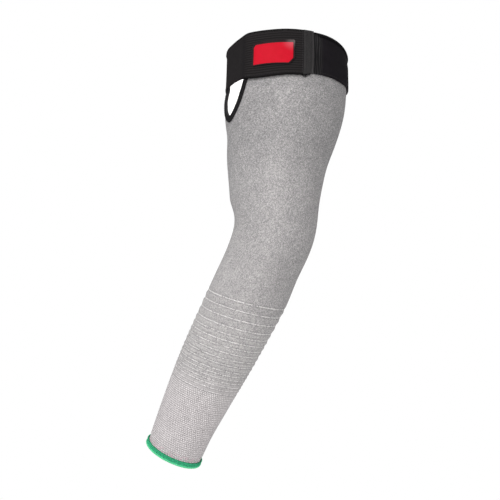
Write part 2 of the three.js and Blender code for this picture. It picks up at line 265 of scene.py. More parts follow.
# ---- material nodes ------------------------------------------------------------------------
class Nodes:
    def __init__(self, name):
        self.mat = bpy.data.materials.new(name)
        self.mat.use_nodes = True
        self.tree = self.mat.node_tree
        self.bsdf = self.tree.nodes["Principled BSDF"]

    def add(self, kind, **props):
        n = self.tree.nodes.new(kind)
        for k, v in props.items():
            setattr(n, k, v)
        return n

    def put(self, socket, value):
        if hasattr(value, "is_output"):
            self.tree.links.new(value, socket)
        else:
            socket.default_value = value

    def math(self, op, *values, clamp=False):
        n = self.add("ShaderNodeMath", operation=op, use_clamp=clamp)
        for s, v in zip(n.inputs, values):
            self.put(s, v)
        return n.outputs[0]

    def plus(self, *v):
        out = v[0]
        for x in v[1:]:
            out = self.math("ADD", out, x)
        return out

    def times(self, *v):
        out = v[0]
        for x in v[1:]:
            out = self.math("MULTIPLY", out, x)
        return out

    def minus(self, a, b):
        return self.math("SUBTRACT", a, b)

    def step(self, x, low, high, kind="SMOOTHSTEP", to=(0.0, 1.0)):
        n = self.add("ShaderNodeMapRange", interpolation_type=kind, clamp=True)
        self.put(n.inputs["Value"], x)
        for key, v in (("From Min", low), ("From Max", high), ("To Min", to[0]), ("To Max", to[1])):
            self.put(n.inputs[key], v)
        return n.outputs["Result"]

    def uv(self, name):
        n = self.add("ShaderNodeUVMap", uv_map=name)
        x = self.add("ShaderNodeSeparateXYZ")
        self.put(x.inputs[0], n.outputs[0])
        return x.outputs[0], x.outputs[1]

    def vector(self, name):
        return self.add("ShaderNodeAttribute", attribute_type="GEOMETRY", attribute_name=name).outputs["Vector"]

    def xyz(self, x=0.0, y=0.0, z=0.0):
        n = self.add("ShaderNodeCombineXYZ")
        for s, v in zip(n.inputs, (x, y, z)):
            self.put(s, v)
        return n.outputs[0]

    def split(self, v):
        n = self.add("ShaderNodeSeparateXYZ")
        self.put(n.inputs[0], v)
        return n.outputs[0], n.outputs[1], n.outputs[2]

    def scaled(self, v, by):
        n = self.add("ShaderNodeVectorMath", operation="MULTIPLY")
        self.put(n.inputs[0], v)
        n.inputs[1].default_value = by
        return n.outputs[0]

    def noise(self, v, scale=1.0, detail=2.0, rough=0.5):
        n = self.add("ShaderNodeTexNoise", noise_dimensions="3D")
        self.put(n.inputs["Vector"], v)
        n.inputs["Scale"].default_value = scale
        n.inputs["Detail"].default_value = detail
        n.inputs["Roughness"].default_value = rough
        return n.outputs["Fac"]

    def white(self, v):
        n = self.add("ShaderNodeTexWhiteNoise", noise_dimensions="3D")
        self.put(n.inputs["Vector"], v)
        return n.outputs["Value"]

    def ramp(self, x, *stops):
        n = self.add("ShaderNodeValToRGB")
        self.put(n.inputs[0], x)
        e = n.color_ramp.elements
        while len(e) < len(stops):
            e.new(0.5)
        for s, (at, col) in zip(e, stops):
            s.position = at
            s.color = (*col, 1)
        return n.outputs[0]

    def blend(self, f, a, b, mode="MIX"):
        n = self.add("ShaderNodeMix", data_type="RGBA", blend_type=mode)
        self.put(n.inputs["Factor"], f)
        for s, v in zip([x for x in n.inputs if x.type == "RGBA"], (a, b)):
            self.put(s, (*v, 1) if isinstance(v, tuple) else v)
        return [o for o in n.outputs if o.type == "RGBA"][0]

    def finish(self, color, height=None, height_scale=1.0, roughness=0.9, specular=0.2, sheen=0.0,
               sheen_rough=0.5, sheen_tint=(1, 1, 1), strength=1.0):
        b = self.bsdf
        self.put(b.inputs["Base Color"], color if hasattr(color, "is_output") else (*color, 1))
        self.put(b.inputs["Roughness"], roughness)
        b.inputs["Specular IOR Level"].default_value = specular
        b.inputs["Sheen Weight"].default_value = sheen
        b.inputs["Sheen Roughness"].default_value = sheen_rough
        b.inputs["Sheen Tint"].default_value = (*sheen_tint, 1)
        if height is not None:
            n = self.add("ShaderNodeBump")
            n.inputs["Strength"].default_value = strength
            n.inputs["Distance"].default_value = 0.001 * height_scale
            self.put(n.inputs["Height"], height)
            self.put(b.inputs["Normal"], n.outputs[0])
        return self.mat


WALES = 180
LINES = np.array([271.5, 280.8, 290.5, 300.0, 307.6, 314.6, 320.9, 327.1, 333.8, 339.9, 346.8, 350.8,
                  355.2, 358.8, 363.6, 367.6, 371.9])
CUFF = 372.9            # where the close ribbed cuff begins, down the knit
COURSE = 1.06


def line_phase(d):
    """Number of elastic lines passed at distance d down the knit, and the space between them there."""
    first, last = LINES[1] - LINES[0], LINES[-1] - LINES[-2]
    key = np.concatenate([[LINES[0] - 40 * first], LINES, [LINES[-1] + 40 * last]])
    val = np.concatenate([[-40], np.arange(len(LINES)), [len(LINES) + 39]])
    mid = (LINES[1:] + LINES[:-1]) / 2
    return np.interp(d, key, val), np.interp(d, mid, np.diff(LINES))


def knit_material(name, inside=False):
    n = Nodes(name)
    U, V = n.uv("wale")
    space, phase = n.uv("line")
    rest = n.vector("rest")
    rx, ry, down = n.split(rest)
    far_side_shade = n.times(n.plus(n.times(rx, 0.66), n.times(ry, 0.75)), 1 / 43.7)
    notch_side_shade = n.times(n.plus(n.times(rx, -0.174), n.times(ry, -0.985)), 1 / 43.7)   # 1 on the side of the notch

    # One stitch is a V of two yarn legs.
    ax = n.times(n.math("ABSOLUTE", n.minus(n.math("FRACT", U), 0.5)), 2.0)
    lean = n.plus(V, n.times(ax, 0.5))
    yy = n.minus(n.times(n.math("FRACT", lean), 2.0), 1.0)
    across = n.minus(1.0, n.times(yy, yy))
    gap = n.math("POWER", n.math("ABSOLUTE", n.minus(n.times(ax, 2.0), 1.0)), 4.0)
    leg = n.times(across, n.minus(1.0, n.times(gap, 0.8)))

    # Heathered yarn: each leg has its own tone, and flecks run along the rows.
    cell = n.white(n.xyz(n.math("FLOOR", n.times(U, 2.0)), n.math("FLOOR", lean), 3.0))
    speck = n.white(n.xyz(n.math("FLOOR", n.times(U, 2.0)), n.math("FLOOR", n.times(lean, 2.0)), 9.0))
    fleck = n.noise(n.scaled(rest, (1.0, 1.0, 2.0)), 1.0, 2.0, 0.6)
    cloud = n.noise(n.scaled(rest, (0.09, 0.09, 0.11)), 1.0, 1.0, 0.5)
    # paler towards the wrist: partly the knit's own tone, partly painted light on the lower forearm
    pale_and_lit = n.plus(n.times(n.step(down, 255.0, 330.0), 0.075), n.times(n.step(down, 330.0, 385.0), 0.12))
    calm = n.plus(n.step(down, 356.0, 380.0, to=(0.92, 0.16)), n.times(n.step(down, 255.0, 290.0), n.step(down, 380.0, 356.0), 0.16))
    tone = n.plus(0.485, pale_and_lit,
                  n.times(n.minus(cell, 0.5), 0.17, calm),
                  n.times(n.minus(speck, 0.5), 0.34, calm),
                  n.times(n.minus(fleck, 0.5), 0.62, calm),
                  n.times(n.minus(cloud, 0.5), 0.14),
                  # painted shade: the upper arm is darker on the notch side
                  n.times(n.step(down, 262.0, 150.0), n.step(notch_side_shade, 0.46, 0.90), -0.085),
                  # painted shade: darker towards the top, below the strap
                  n.times(n.step(down, 155.0, 105.0), -0.065),
                  # painted shade: elbow and forearm darker on their +X+Y side, the right of the view
                  n.times(n.step(down, 330.0, 230.0), n.step(far_side_shade, -0.1, 0.6), -0.075),
                  n.times(n.minus(leg, 0.55), 0.20))

    # White elastic yarn, laid in every few rows of the forearm.
    near = n.times(n.math("ABSOLUTE", n.minus(phase, n.math("ROUND", phase))), space)
    wander = n.times(n.minus(n.noise(n.scaled(rest, (0.25, 0.25, 0.02)), 1.0, 1.0), 0.5), 0.35)
    dist = n.plus(near, wander)
    on = n.times(n.step(phase, -0.5, -0.45), n.step(phase, len(LINES) - 0.45, len(LINES) - 0.5))
    ridge = n.times(n.step(dist, 0.80, 0.15), on)
    bar = n.math("FRACT", n.plus(n.times(U, 1.0), n.times(n.math("ROUND", phase), 0.37)))
    shape = n.step(n.math("ABSOLUTE", n.minus(bar, 0.5)), 0.42, 0.26)
    luck = n.white(n.xyz(n.math("FLOOR", n.plus(n.times(U, 1.0), n.times(n.math("ROUND", phase), 0.37))),
                         n.math("ROUND", phase), 8.0))
    dash = n.times(ridge, shape, n.step(luck, -0.25, 0.8))
    shade = n.times(n.step(dist, 2.3, 0.9), on)

    # The cuff's close rows of slanted stitches, every other row set over by half.
    cuff = n.times(n.step(down, CUFF - 0.9, CUFF + 0.5), n.step(down, 457.0, 455.0))
    row = n.times(n.minus(down, CUFF), 1 / 2.12)
    odd = n.math("MODULO", n.math("FLOOR", row), 2.0)
    fy = n.minus(n.math("FRACT", row), 0.5)
    col = n.plus(n.times(U, 0.5), n.times(odd, 0.5), n.times(fy, -0.45))
    fx = n.minus(n.math("FRACT", col), 0.5)
    q = n.plus(n.math("POWER", n.math("ABSOLUTE", n.times(fx, 1 / 0.40)), 2.0),
               n.math("POWER", n.math("ABSOLUTE", n.times(fy, 1 / 0.34)), 2.0))
    picked = n.white(n.xyz(n.math("FLOOR", col), n.math("FLOOR", row), 5.0))
    purl = n.times(n.step(q, 1.25, 0.35), cuff)

    tone = n.plus(tone,
                  n.times(dash, n.step(down, 285.0, 368.0, to=(0.78, 0.66))),
                  n.times(shade, n.step(down, 290.0, 345.0, to=(-0.07, -0.16))),
                  n.times(cuff, -0.135),
                  n.times(purl, n.step(picked, -2.5, 1.0), 0.36))
    if inside:
        color = n.ramp(tone, (0.0, (0.50, 0.49, 0.485)), (0.5, (0.72, 0.71, 0.70)), (1.0, (0.88, 0.87, 0.86)))
    else:
        color = n.ramp(tone, (0.0, (0.105, 0.104, 0.108)), (0.28, (0.205, 0.203, 0.207)),
                       (0.5, (0.344, 0.332, 0.334)), (0.75, (0.53, 0.514, 0.512)), (1.0, (0.80, 0.785, 0.782)))
        color = n.blend(n.times(n.step(down, 340.0, 400.0), 0.55), color, n.blend(1.0, color, (1.0, 0.955, 0.985), "MULTIPLY"))
        pink = n.times(n.step(down, 446.5, 449.5), n.step(down, 454.5, 452.5), purl, n.step(picked, 0.45, 0.6))
        color = n.blend(n.times(pink, 0.55), color, (0.78, 0.40, 0.50))
    height = n.plus(n.times(leg, 0.22), n.times(ridge, 0.28), n.times(dash, 0.16), n.times(purl, 0.34),
                    n.times(fleck, 0.22))
    rough = n.step(fleck, 0.3, 0.7, kind="LINEAR", to=(0.95, 0.84))
    return n.finish(color, height, 1.0, rough, specular=0.18, sheen=0.06, sheen_rough=0.6)


def knit_tube():
    top_rows = np.concatenate([np.linspace(0, 50, 22), np.linspace(50, 75, 14)[1:],
                               np.array([76.2, 77.3, 78.3, 79.2, 79.95, 80.5, 80.95, 81.2])])
    inset = 1.8
    end = LENGTH - 1.3
    rows = np.concatenate([top_rows, 81.2 + np.cumsum(np.full(92, (262 - 81.2) / 92)),
                           262 + np.cumsum(np.full(106, (380 - 262) / 106)),
                           380 + np.cumsum(np.full(87, (end - 380) / 87))])
    closed = len(top_rows) - 1
    R = len(rows) - 1
    if R % 2:
        rows = np.insert(rows, 3, (rows[2] + rows[3]) / 2)
        closed += 1
        R += 1
    if closed % 2:
        rows = np.insert(rows, closed + 4, (rows[closed + 3] + rows[closed + 4]) / 2)
        rows = np.insert(rows, 6, (rows[5] + rows[6]) / 2)
        closed += 1
        R += 2
    N = 240

    def skin(rows, closed, N, off):
        s = rows[:, None] + np.zeros((1, N + 1))
        half = notch_half(rows, inset) / radius_at(rows)
        j = np.arange(N + 1)
        angle = NOTCH_DEG * RAD + half[:, None] + (2 * np.pi - 2 * half[:, None]) * j[None] / N
        s[0] = 0.6 + top_edge(angle[0])
        # the rows below the rim ease back from its wavy height
        for k in range(1, 8):
            s[k] += (s[0] - 0.6) * (1 - smooth(k / 8)) * 0.5
        down = knit_down(s, angle)
        phase, space = line_phase(down)
        d = (phase - np.round(phase)) * space
        band = smooth((phase + 0.5) / 0.4) * smooth((len(LINES) - 0.5 - phase) / 0.5)
        wave = 0.34 * np.cos(2 * np.pi * np.clip(phase, -0.5, len(LINES) - 0.5)) * np.minimum(space / 7.0, 1.0)
        puff = -band * wave + band * 0.10 * np.sin(11 * angle + 2.1 * np.round(phase)) * (1 - np.exp(-(d / 1.5) ** 2))
        inner_bend = np.abs(np.degrees(np.arctan2(np.sin(angle - np.pi), np.cos(angle - np.pi))))
        near = np.exp(-(inner_bend / 27.0) ** 2) * np.exp(-((s - 187) / 26.0) ** 2)
        fold = near * 0.75 * np.cos((s - 187 + 3 * np.sin(2 * angle)) / 13.5 * 2 * np.pi * 0.9)
        soft = (0.16 * np.sin(3 * angle + s / 31.0) * np.sin(s / 23.0 + 1.3)
                + 0.09 * np.sin(5 * angle - s / 17.0)) * smooth((s - 95) / 40) * smooth((445 - s) / 30)
        hem = -0.35 * smooth((s - 446) / 6)
        wrapped = np.degrees(angle) % 360
        left = np.exp(-((wrapped - 229) / 32) ** 2)
        right = np.exp(-(((wrapped - 48.6 + 180) % 360 - 180) / 38) ** 2)
        soft = soft + left * (2.2 * np.exp(-((s - 173) / 21) ** 2) - 0.9 * np.exp(-((s - 96) / 12) ** 2))
        soft = soft + right * (1.3 * np.exp(-((s - 92) / 20) ** 2) - 1.0 * np.exp(-((s - 160) / 16) ** 2))
        pts = knit_surface(s, angle, off + puff + fold + soft + hem)
        rest = np.stack([43.7 * np.cos(angle), 43.7 * np.sin(angle), down], -1)
        wale = np.stack([(angle - NOTCH_DEG * RAD) / (2 * np.pi) * WALES, down / COURSE], -1)
        line = np.stack([space, phase], -1)
        ids = np.zeros((len(rows), N + 1), int)
        n = 0
        keep = np.ones((len(rows), N + 1), bool)
        keep[closed:, N] = False
        ids[keep] = np.arange(keep.sum())
        ids[closed:, N] = ids[closed:, 0]
        return pts[keep], ids, rest[keep], wale, line, keep.sum()

    Po, Io, Ro, Wo, Lo, no = skin(rows, closed, N, 0.0)
    Pi, Ii, Ri, Wi, Li, ni = skin(rows[::2], closed // 2, N // 2, -KNIT)
    Ii = Ii + no

    def faces(I, W, L, flip):
        a = [I[:-1, :-1], I[1:, :-1], I[1:, 1:], I[:-1, 1:]]
        w = [W[:-1, :-1], W[1:, :-1], W[1:, 1:], W[:-1, 1:]]
        l = [L[:-1, :-1], L[1:, :-1], L[1:, 1:], L[:-1, 1:]]
        if flip:
            a, w, l = a[::-1], w[::-1], l[::-1]
        return (np.stack(a, -1).reshape(-1, 4), np.stack(w, -2).reshape(-1, 4, 2), np.stack(l, -2).reshape(-1, 4, 2))

    fo, wo, lo_ = faces(Io, Wo, Lo, False)
    fi, wi, li = faces(Ii, Wi, Li, True)
    tri, tw, tl = [], [], []

    def stitch(o, ow, ol, i, iw, il, flip):
        """Joins an edge of the outer skin to the inner skin's, which has half as many points."""
        for k in range(len(i) - 1):
            for t in ((("o", 2 * k), ("o", 2 * k + 1), ("i", k)), (("o", 2 * k + 1), ("i", k + 1), ("i", k)),
                      (("o", 2 * k + 1), ("o", 2 * k + 2), ("i", k + 1))):
                t = t[::-1] if flip else t
                pick = [(o, ow, ol)[0][j] if w == "o" else i[j] for w, j in t]
                if len(set(pick)) < 3:
                    continue
                tri.append(pick)
                tw.append([ow[j] if w == "o" else iw[j] for w, j in t])
                tl.append([ol[j] if w == "o" else il[j] for w, j in t])

    stitch(Io[0], Wo[0], Lo[0], Ii[0], Wi[0], Li[0], True)
    stitch(Io[-1], Wo[-1], Lo[-1], Ii[-1], Wi[-1], Li[-1], False)
    c = closed
    stitch(Io[:c + 1, 0], Wo[:c + 1, 0], Lo[:c + 1, 0], Ii[:c // 2 + 1, 0], Wi[:c // 2 + 1, 0], Li[:c // 2 + 1, 0], False)
    stitch(Io[:c + 1, N], Wo[:c + 1, N], Lo[:c + 1, N], Ii[:c // 2 + 1, N // 2], Wi[:c // 2 + 1, N // 2],
           Li[:c // 2 + 1, N // 2], True)
    tri, tw, tl = np.array(tri), np.array(tw), np.array(tl)
    index = [np.zeros(len(fo)), np.ones(len(fi)), np.zeros(len(tri))]
    return build("knit_tube", np.concatenate([Po, Pi]), [fo, fi, tri], index,
                 {"wale": [wo, wi, tw], "line": [lo_, li, tl]}, {"rest": np.concatenate([Ro, Ri])},
                 [knit_material("knit_face"), knit_material("knit_back", True)])


# ---- the strap -----------------------------------------------------------------------------
def webbing_material(name):
    """Black elastic: a smooth brushed face round the arm, ribbed webbing on the upper layer."""
    n = Nodes(name)
    L, A = n.uv("band")                     # mm along, mm across
    # upper layer of ribbed webbing, and the looser fleece beside its end
    tab = n.step(L, 303.0, 308.0)
    # turn marks where the painted shade of the fold falls
    turn = n.times(n.step(L, 298.0, 304.0), n.step(L, 313.0, 307.0))
    pressed = n.times(n.step(L, -24.0, -22.0), n.step(L, -8.0, -12.0))
    bridge = n.times(n.step(L, 250.0, 262.0), n.step(L, 306.0, 300.0))
    rib = n.minus(n.math("FRACT", n.times(A, 1 / 2.3)), 0.5)
    ridge = n.minus(1.0, n.math("POWER", n.math("ABSOLUTE", n.times(rib, 2.0)), 2.2))
    odd = n.math("MODULO", n.math("FLOOR", n.times(A, 1 / 2.3)), 2.0)
    ply = n.minus(n.math("FRACT", n.plus(n.times(L, 1 / 1.15), n.times(odd, 0.5), n.times(rib, 0.9))), 0.5)
    twist = n.minus(1.0, n.math("POWER", n.math("ABSOLUTE", n.times(ply, 2.0)), 2.0))
    fine = n.minus(n.math("FRACT", n.times(A, 1 / 0.8)), 0.5)
    cord = n.minus(1.0, n.times(fine, fine, 4.0))
    grain = n.noise(n.xyz(n.times(L, 0.55), n.times(A, 1.7), 0.0), 1.0, 3.0, 0.65)
    cloud = n.noise(n.xyz(n.times(L, 0.045), n.times(A, 0.06), 2.0), 1.0, 2.0, 0.5)
    fuzz = n.noise(n.xyz(n.times(L, 2.4), n.times(A, 2.4), 5.0), 1.0, 3.0, 0.7)
    # wavy runs in step with the folds made in strap_relief
    wavy = n.math("SINE", n.plus(n.times(L, 3.22), n.times(n.math("SINE", n.times(A, 1 / 6.0)), 0.6)))
    folds = n.plus(n.times(n.noise(n.xyz(n.times(L, 0.95), n.times(A, 0.05), 7.0), 1.0, 2.0, 0.6), 0.6),
                   n.times(wavy, 0.16), 0.20)
    # edge: darker along the band's overlocked top edge, and painted shade at the foot of the tab's turn
    edge = n.math("MAXIMUM", n.step(A, 2.4, 1.0), n.times(n.step(A, 43.8, 45.0), n.step(L, 300.0, 306.0)))

    plain = n.ramp(n.plus(n.times(grain, 0.5), n.times(cloud, 0.5), n.times(n.minus(fuzz, 0.5), 0.35)),
                   (0.25, (0.0062, 0.0055, 0.0065)), (0.5, (0.0092, 0.0080, 0.0098)), (0.8, (0.0140, 0.0125, 0.0150)))
    ribbed = n.ramp(n.plus(n.times(ridge, 0.50), n.times(twist, ridge, 0.22), n.times(grain, 0.34)),
                    (0.15, (0.0050, 0.0045, 0.0047)), (0.55, (0.0112, 0.0100, 0.0104)), (1.0, (0.0225, 0.0205, 0.0212)))
    # painted light and shade on the pressed folds: lighter on their crests, darker in their hollows, with some random
    # tone
    fold_light_and_shade = n.ramp(folds, (0.30, (0.003, 0.0028, 0.0031)), (0.52, (0.014, 0.0135, 0.0142)), (0.75, (0.040, 0.038, 0.040)))
    color = n.blend(n.times(bridge, 0.75), plain, n.ramp(grain, (0.3, (0.0095, 0.0084, 0.0086)), (0.7, (0.0160, 0.0144, 0.0148))))
    color = n.blend(tab, color, ribbed)
    color = n.blend(pressed, color, fold_light_and_shade)
    # painted shade in the fold where the strap turns into the tab
    color = n.blend(n.times(turn, 0.45), color, (0.010, 0.0092, 0.0096))
    # painted shadow: a serrated dark band below the top edge on the free side of the tab, where the roll shades the
    # fleece; the fleece is lighter along its lower edge
    jag = n.plus(A, n.times(n.math("SINE", n.times(L, 2.3)), 0.7))
    deep = n.times(n.step(jag, 5.2, 4.2), n.step(L, -18.0, -10.0), n.step(L, 110.0, 80.0))
    # the fleece is lighter along its lower edge on this side
    pale_lower_edge = n.times(n.step(A, 41.5, 45.5), n.step(L, 15.0, 50.0), n.step(L, 110.0, 80.0))
    color = n.blend(n.times(pale_lower_edge, n.step(fuzz, 0.35, 0.6), 0.6), color, (0.036, 0.034, 0.037))
    # the overlocked top edge, the painted shade at the turn's foot and the painted shadow under the roll, darkened
    # together
    edge = n.math("MAXIMUM", edge, deep)
    color = n.blend(n.times(edge, 0.8), color, (0.0026, 0.0024, 0.0026))
    height = n.plus(n.times(tab, n.plus(n.times(ridge, 0.18), n.times(twist, 0.10))),
                    n.times(n.minus(1.0, tab), n.plus(n.times(fuzz, 0.22), n.times(cord, 0.05), n.times(grain, 0.08))),
                    n.times(pressed, folds, 0.9))
    return n.finish(color, height, 1.0, n.step(grain, 0.3, 0.7, kind="LINEAR", to=(1.0, 0.85)), specular=0.05)


def band_piece(name, degs, edges, inner, thick, material, outer_n, inner_n, relief=None, uv_scale=None,
               uv_across=None, corner=0.55):
    """A strap of constant thickness with rounded edges, closed at both ends.
    relief(deg, v, width) is added to the outer face, in mm; v is mm down from the top edge."""
    top, bottom = edges(degs)
    width = (bottom - top)[:, None]
    # section outline: outer face from the top edge to the bottom edge, then the inner face back
    c = corner
    arc = np.linspace(0, np.pi / 2, 5)
    n_sec = len(degs)
    v, h, face = [], [], []
    none = 0 * width[:, 0]
    cc = min(c, thick / 2)

    def point(x, y, f):
        v.append(x + none)
        h.append(y)
        face.append(f)

    for a in arc[:-1]:                      # round the top edge to the outer face
        point(c * (1 - np.cos(a)), thick - c + c * np.sin(a), 0.3)
    for t in np.linspace(0, 1, outer_n):
        point(c + (width[:, 0] - 2 * c) * t, thick, 1.0)
    for a in arc[1:]:                       # round the bottom edge
        point(width[:, 0] - c + c * np.sin(a), thick - c + c * np.cos(a), 0.3)
    for a in arc:
        point(width[:, 0] - c + c * np.cos(a), cc * (1 - np.sin(a)), 0.0)
    for t in np.linspace(1, 0, inner_n)[1:]:
        point(c + (width[:, 0] - 2 * c) * t, 0.0, 0.0)
    for a in arc[1:]:
        point(c * (1 - np.sin(a)), cc * (1 - np.cos(a)), 0.0)
    v = np.stack(v, 1)
    h = np.array(h)[None] + 0 * v
    face = np.array(face)[None] + 0 * v
    D = degs[:, None] + 0 * v
    s = top[:, None] + v
    if relief is not None:
        h = h + relief(D, v, width) * face
    pts = around(s, D * RAD, inner(D, s) + h)
    m = v.shape[1]
    idx = np.arange(n_sec * m).reshape(n_sec, m)
    q = ring_sweep(idx)
    along = D * RAD * 63.5 if uv_scale is None else D * RAD * uv_scale
    across = v / width * (uv_across or 46.0)
    UV = np.stack([along, across], -1)
    i, k = np.meshgrid(np.arange(n_sec - 1), np.arange(m), indexing="ij")
    k2 = (k + 1) % m
    uv = np.stack([UV[i, k], UV[i, k2], UV[i + 1, k2], UV[i + 1, k]], -2).reshape(-1, 4, 2)
    # ends: strips across the section, from the outer outline to the inner one
    lead = len(arc) - 1
    o = np.arange(0, lead + outer_n + lead)                # from the top edge over the outer face to the bottom edge
    rest_ = np.arange(lead + outer_n + lead, m)[::-1]      # the inner face, from top to bottom
    caps, capuv = [], []

    def cap(row, flip):
        a, b = 0, 0
        va, vb = v[row, o], v[row, rest_]
        while a < len(o) - 1 or b < len(rest_) - 1:
            if b == len(rest_) - 1 or (a < len(o) - 1 and va[a + 1] <= vb[b + 1]):
                t = [o[a], o[a + 1], rest_[b]]
                a += 1
            else:
                t = [o[a], rest_[b + 1], rest_[b]]
                b += 1
            t = t[::-1] if flip else t
            caps.append([idx[row, x] for x in t])
            capuv.append([UV[row, x] for x in t])

    cap(0, True)
    cap(n_sec - 1, False)
    return build(name, pts.reshape(-1, 3), [q, np.array(caps)], None, {"band": [uv, np.array(capuv)]}, None, [material])


def strap_relief(D, v, width):
    ribs = 0.07 * np.cos(2 * np.pi * (v / width * 46.0) / 2.3 + np.pi)
    tab = smooth((D - 276.5) / 2.0)
    plain = 0.03 * np.cos(2 * np.pi * (v / width * 46.0) / 0.8)
    # the fleece just past the tab's end is pressed into small folds
    press = smooth((D + 22) / 2) * (1 - smooth((D + 11) / 4))
    folds = 0.35 * np.sin(D * 3.57 + 0.6 * np.sin(v / 6.0)) * press
    sag = -0.35 * smooth((D - 236) / 6) * (1 - smooth((D - 264) / 6)) * np.sin(np.pi * v / width)
    flare = np.exp(-((D - 48) / 30) ** 2) * (0.5 * smooth((v / width - 0.55) / 0.45) - 0.8 * smooth((0.42 - v / width) / 0.3))
    return tab * ribs + (1 - tab) * plain + folds + sag + flare


def arm_strap(material):
    degs = np.concatenate([np.linspace(-79.2, -26, 40), np.linspace(-26, -6, 84)[1:], np.linspace(-6, 216, 146)[1:],
                           np.linspace(216, BRIDGE[0], 16)[1:], np.linspace(BRIDGE[0], BRIDGE[1], 26)[1:],
                           np.linspace(BRIDGE[1], 279.5, 9)[1:], np.linspace(279.5, 332.6, 44)[1:]])
    return band_piece("arm_strap", degs, strap_edge, strap_radius, STRAP, material, 121, 15, strap_relief)


def end_material():
    n = Nodes("end_tape")
    L, A = n.uv("band")
    weave = n.minus(n.math("FRACT", n.times(A, 1 / 1.15)), 0.5)
    ridge = n.minus(1.0, n.times(weave, weave, 4.0))
    grain = n.noise(n.xyz(n.times(L, 1.6), n.times(A, 0.5), 1.0), 1.0, 3.0, 0.6)
    # painted highlight along the tip's end edge
    highlight_lip = n.step(L, 376.0, 377.6)
    tone = n.plus(n.times(ridge, 0.40), n.times(grain, 0.55), n.times(highlight_lip, 0.35), -0.08)
    color = n.ramp(tone, (0.2, (0.010, 0.0095, 0.010)), (0.5, (0.026, 0.0248, 0.0255)), (0.95, (0.062, 0.059, 0.060)))
    height = n.plus(n.times(ridge, 0.12), n.times(grain, 0.2))
    return n.finish(color, height, 1.0, 0.9, specular=0.06)


def end_piece(material):
    rows = np.array([(331.9, -0.2, 48.7), (335.0, -0.2, 48.0), (338.0, -0.2, 46.6), (341.6, -0.2, 46.4)])

    def edges(d):
        return np.interp(d, rows[:, 0], rows[:, 1]), np.interp(d, rows[:, 0], rows[:, 2])

    def relief(D, v, width):
        hump = np.sin(np.pi * np.clip((D - 331.9) / 9.7, 0, 1)) ** 0.3
        ends = -0.9 * (1 - hump)
        seam = -0.22 * np.exp(-((D - 335.0) / 0.35) ** 2) - 0.18 * np.exp(-((D - 340.1) / 0.3) ** 2)
        return ends + seam + 0.10 * np.cos(2 * np.pi * v / 1.15)

    degs = np.concatenate([[331.9, 332.05, 332.3], np.linspace(332.7, 341.0, 38), [341.3, 341.5, 341.6]])
    return band_piece("strap_tip", degs, edges, lambda D, s: radius_at(s) + STRAP_OFF, 1.9, material, 161, 21, relief)


# ---- moulded patch -------------------------------------------------------------------------
PATCH = np.array([(286.2, 18.6, 38.2), (288.4, 15.0, 38.2), (319.0, 13.9, 37.9), (323.2, 13.8, 32.2)])


def rubber(name, dark, mid, light, specular=0.4, rough=0.5, glint=(0.2, 0.2, 0.2), reach=6.0):
    n = Nodes(name)
    L, A = n.uv("band")
    grain = n.noise(n.xyz(n.times(L, 1.9), n.times(A, 1.9), 0.0), 1.0, 4.0, 0.6)
    broad = n.noise(n.xyz(n.times(L, 0.12), n.times(A, 0.12), 4.0), 1.0, 2.0, 0.5)
    tone = n.plus(n.times(grain, 0.5), n.times(broad, 0.5))
    color = n.ramp(tone, (0.3, dark), (0.5, mid), (0.72, light))
    # paler where the upper corner at the strap's end turns to the light
    dx, dy = n.minus(L, 371.0), n.minus(A, 14.0)
    away = n.math("SQRT", n.plus(n.times(dx, dx), n.times(dy, dy)))
    color = n.blend(n.times(n.step(away, reach, 0.5), 0.75), color, glint)
    return n.finish(color, grain, 0.09, n.step(grain, 0.35, 0.65, kind="LINEAR", to=(rough + 0.08, rough - 0.06)),
                    specular=specular)


def patch_outline(grow, n_each=14, corner=0.9):
    """Outline of the patch in (mm along, mm down), with its corners slightly rounded."""
    P = [(PATCH[0, 0], PATCH[0, 1]), (PATCH[1, 0], PATCH[1, 1]), (PATCH[2, 0], PATCH[2, 1]), (PATCH[3, 0], PATCH[3, 1]),
         (PATCH[3, 0], PATCH[3, 2]), (PATCH[2, 0], PATCH[2, 2]), (PATCH[1, 0], PATCH[1, 2]), (PATCH[0, 0], PATCH[0, 2])]
    P = np.array([(d * RAD * 66.0, s) for d, s in P])
    P = np.delete(P, [2, 6], 0)              # those lie on the straight edges
    m = len(P)
    # move each side outwards
    nxt = np.roll(P, -1, 0)
    T = (nxt - P) / np.linalg.norm(nxt - P, axis=1, keepdims=True)
    area = 0.5 * np.sum(P[:, 0] * nxt[:, 1] - nxt[:, 0] * P[:, 1])
    Nrm = np.stack([T[:, 1], -T[:, 0]], 1) * np.sign(area)
    Q = []
    for k in range(m):
        a, b = (k - 1) % m, k
        A = np.array([T[a], -T[b]]).T
        rhs = (P[b] + Nrm[b] * grow) - (P[a] + Nrm[a] * grow)
        t = np.linalg.solve(A, rhs)
        Q.append(P[a] + Nrm[a] * grow + T[a] * t[0])
    Q = np.array(Q)
    out = []
    for k in range(m):
        p, a, b = Q[k], Q[k - 1], Q[(k + 1) % m]
        ta, tb = (a - p) / np.linalg.norm(a - p), (b - p) / np.linalg.norm(b - p)
        c = max(corner + grow * 0.6, 0.25)
        s0, s1 = p + ta * c, p + tb * c
        for t in np.linspace(0, 1, 6):
            out.append((1 - t) ** 2 * s0 + 2 * t * (1 - t) * p + t * t * s1)
        far = Q[(k + 1) % m]
        e = far + (p - far) / np.linalg.norm(p - far) * c
        for t in np.linspace(0, 1, n_each + 1)[1:-1]:
            out.append(s1 + (e - s1) * t)
    return np.array(out)


